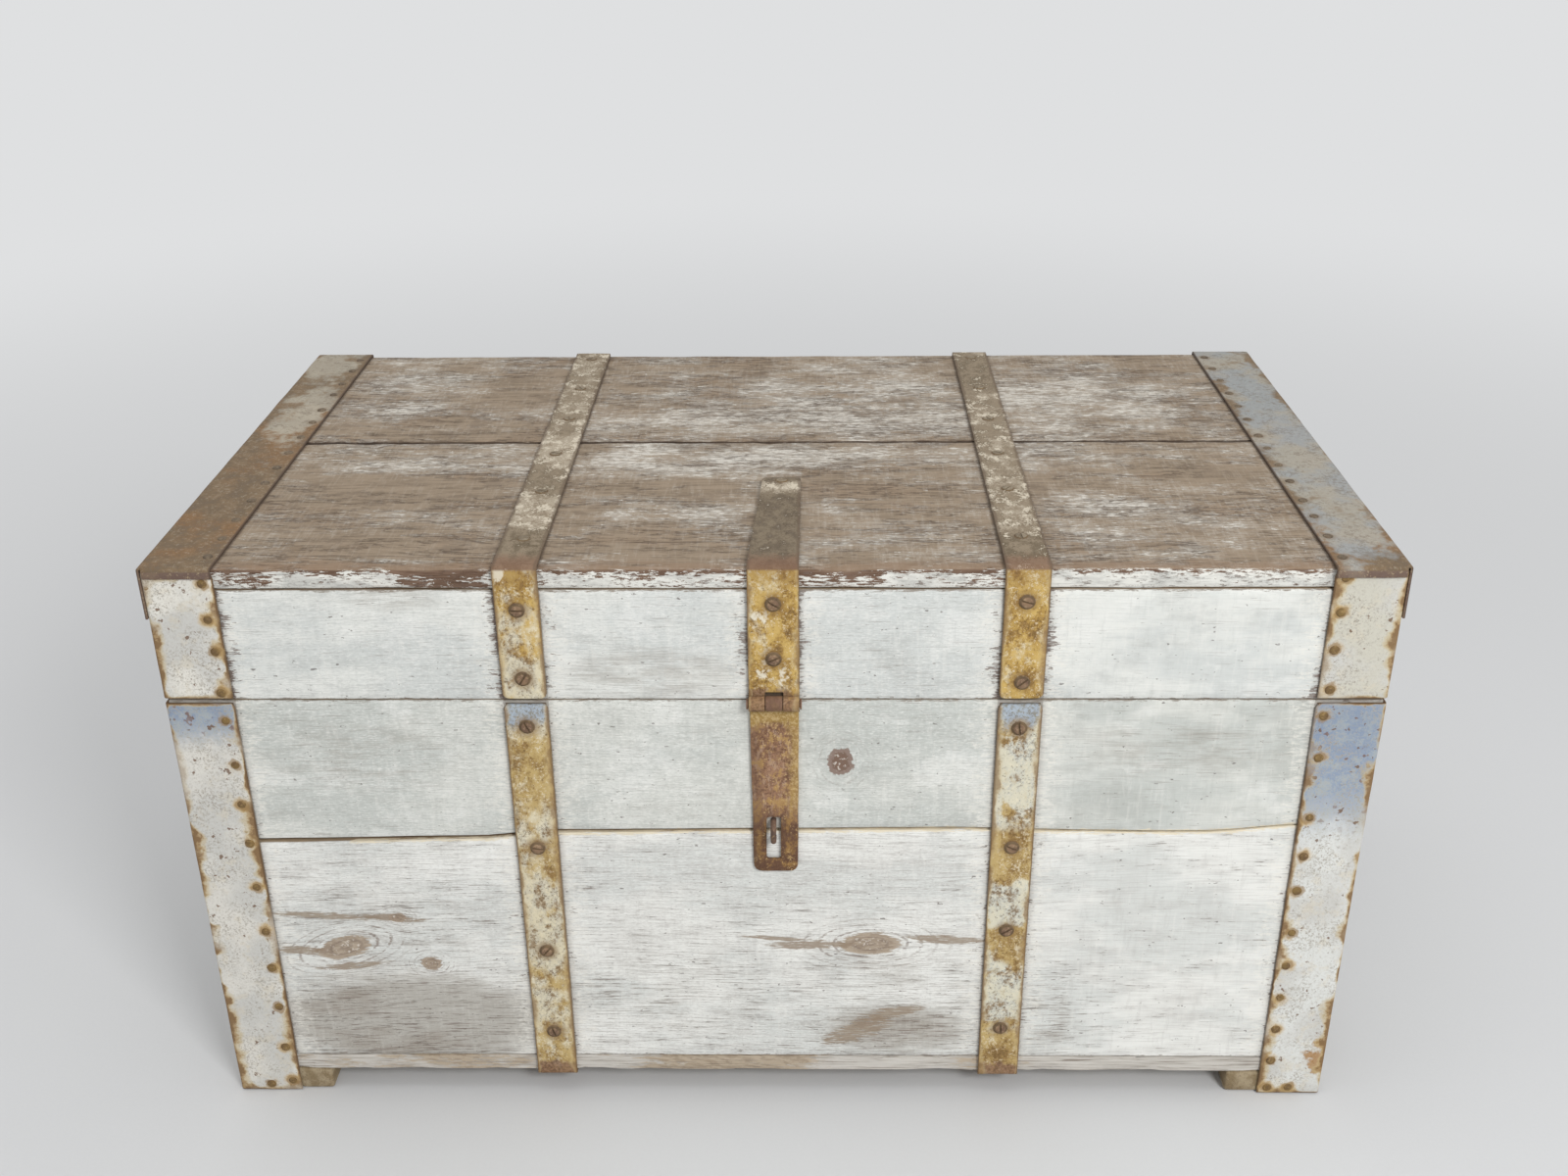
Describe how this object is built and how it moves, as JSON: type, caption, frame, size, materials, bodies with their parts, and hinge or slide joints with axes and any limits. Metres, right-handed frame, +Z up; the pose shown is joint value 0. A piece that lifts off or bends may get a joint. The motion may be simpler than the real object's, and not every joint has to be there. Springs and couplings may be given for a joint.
{
  "type": "storage trunk",
  "caption": "Boarded pine trunk with a hinged boxed lid, folded iron corners, iron straps with rolled hinge knuckles, a slotted hasp with its staple, and drop handles.",
  "frame": {"origin": "on the floor under the middle of the whole trunk", "axes": "+X to the right seen from the front, +Y towards the back with the hasp at -Y, +Z up"},
  "size_m": [1.0306, 0.565, 0.5397],
  "materials": {
    "white_pine": "chalky white paint, worn and chipped over pine",
    "worn_pine": "pale paint worn down to grey-brown pine",
    "bare_pine": "bare weathered pine",
    "corner_iron": "limewashed sheet iron with ochre rust at its edges",
    "top_iron": "blue-grey paint over brown rust",
    "strap_iron": "ochre and cream over brown rust",
    "rust_iron": "brown rusted wrought iron"
  },
  "bodies": {
    "body": {"bottom_board_1": "bare_pine", "bottom_board_2": "bare_pine", "bottom_board_3": "bare_pine", "left_runner": "bare_pine", "right_runner": "bare_pine", "body_front_lower_board": "white_pine", "body_front_upper_board": "white_pine", "body_back_lower_board": "white_pine", "body_back_upper_board": "white_pine", "body_left_lower_board": "white_pine", "body_left_upper_board": "white_pine", "body_right_lower_board": "white_pine", "body_right_upper_board": "white_pine", "body_front_left_iron": "corner_iron", "body_front_right_iron": "corner_iron", "body_back_left_iron": "corner_iron", "body_back_right_iron": "corner_iron", "left_body_strap": "strap_iron", "left_hinge_pin": "rust_iron", "left_handle_front_plate": "rust_iron", "left_handle_back_plate": "rust_iron", "left_body_strap_screw_1": "rust_iron", "left_body_strap_screw_2": "rust_iron", "left_body_strap_screw_3": "rust_iron", "left_body_strap_screw_4": "rust_iron", "right_body_strap": "strap_iron", "right_hinge_pin": "rust_iron", "right_handle_front_plate": "rust_iron", "right_handle_back_plate": "rust_iron", "right_body_strap_screw_1": "rust_iron", "right_body_strap_screw_2": "rust_iron", "right_body_strap_screw_3": "rust_iron", "right_body_strap_screw_4": "rust_iron", "staple": "rust_iron"},
    "lid": {"lid_front_rail": "white_pine", "lid_back_rail": "white_pine", "lid_left_rail": "white_pine", "lid_right_rail": "white_pine", "lid_top_front_board": "worn_pine", "lid_front_left_iron": "corner_iron", "lid_front_right_iron": "corner_iron", "lid_top_back_board": "worn_pine", "lid_back_left_iron": "corner_iron", "lid_back_right_iron": "corner_iron", "lid_left_top_iron": "top_iron", "left_lid_strap": "strap_iron", "left_lid_strap_screw_1": "rust_iron", "left_lid_strap_screw_2": "rust_iron", "lid_right_top_iron": "top_iron", "right_lid_strap": "strap_iron", "right_lid_strap_screw_1": "rust_iron", "right_lid_strap_screw_2": "rust_iron", "hasp_strap": "strap_iron", "hasp_pin": "rust_iron", "hasp_strap_screw_1": "rust_iron", "hasp_strap_screw_2": "rust_iron"},
    "hasp": {"hasp": "rust_iron"},
    "left_handle": {"left_handle_bail": "rust_iron"},
    "right_handle": {"right_handle_bail": "rust_iron"}
  },
  "joints": [
    {"name": "lid_hinge", "type": "hinge", "parent": "body", "child": "lid", "pos_m": [0, 0.27615, 0.4177], "axis": [-1, 0, 0], "range_deg": [0, 105]},
    {"name": "hasp_hinge", "type": "hinge", "parent": "lid", "child": "hasp", "pos_m": [0.0014, -0.27325, 0.4177], "axis": [-1, 0, 0], "range_deg": [0, 175]},
    {"name": "left_handle_hinge", "type": "hinge", "parent": "body", "child": "left_handle", "pos_m": [-0.5068, 0.00145, 0.335], "axis": [0, 1, 0], "range_deg": [0, 170]},
    {"name": "right_handle_hinge", "type": "hinge", "parent": "body", "child": "right_handle", "pos_m": [0.5068, 0.00145, 0.335], "axis": [0, -1, 0], "range_deg": [0, 170]}
  ]
}
